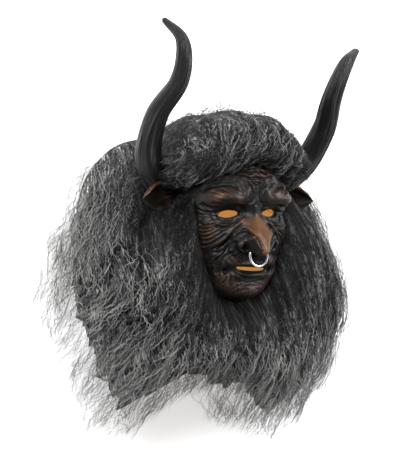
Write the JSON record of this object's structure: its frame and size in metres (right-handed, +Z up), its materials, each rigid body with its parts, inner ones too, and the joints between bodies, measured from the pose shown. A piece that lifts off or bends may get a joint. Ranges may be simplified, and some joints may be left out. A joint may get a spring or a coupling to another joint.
{
  "type": "horned bull-man mask",
  "caption": "Full-head latex mask of a bull-man with horns, ears, a nose ring and long crimped hair, hollow and open at the neck, lying on its back.",
  "frame": {"origin": "on the surface that the mask lies on, under the head's axis at the height of the eyes", "axes": "+X to the right of someone facing the mask, +Y from the chin to the crown, +Z up and out of the face"},
  "size_m": [0.5119, 0.571, 0.2407],
  "materials": {
    "latex": "matt black-brown cast latex, dry-brushed orange-brown on the high spots",
    "horn": "satin black with lengthwise grain",
    "ring_metal": "polished",
    "hair": "crimped synthetic fibre, dark grey flecked with light grey"
  },
  "bodies": {
    "root": {"mask_shell": "latex", "horn_left": "horn", "horn_right": "horn", "nose_ring": "ring_metal", "forelock": "hair", "mane": "hair", "beard": "hair"}
  },
  "joints": []
}
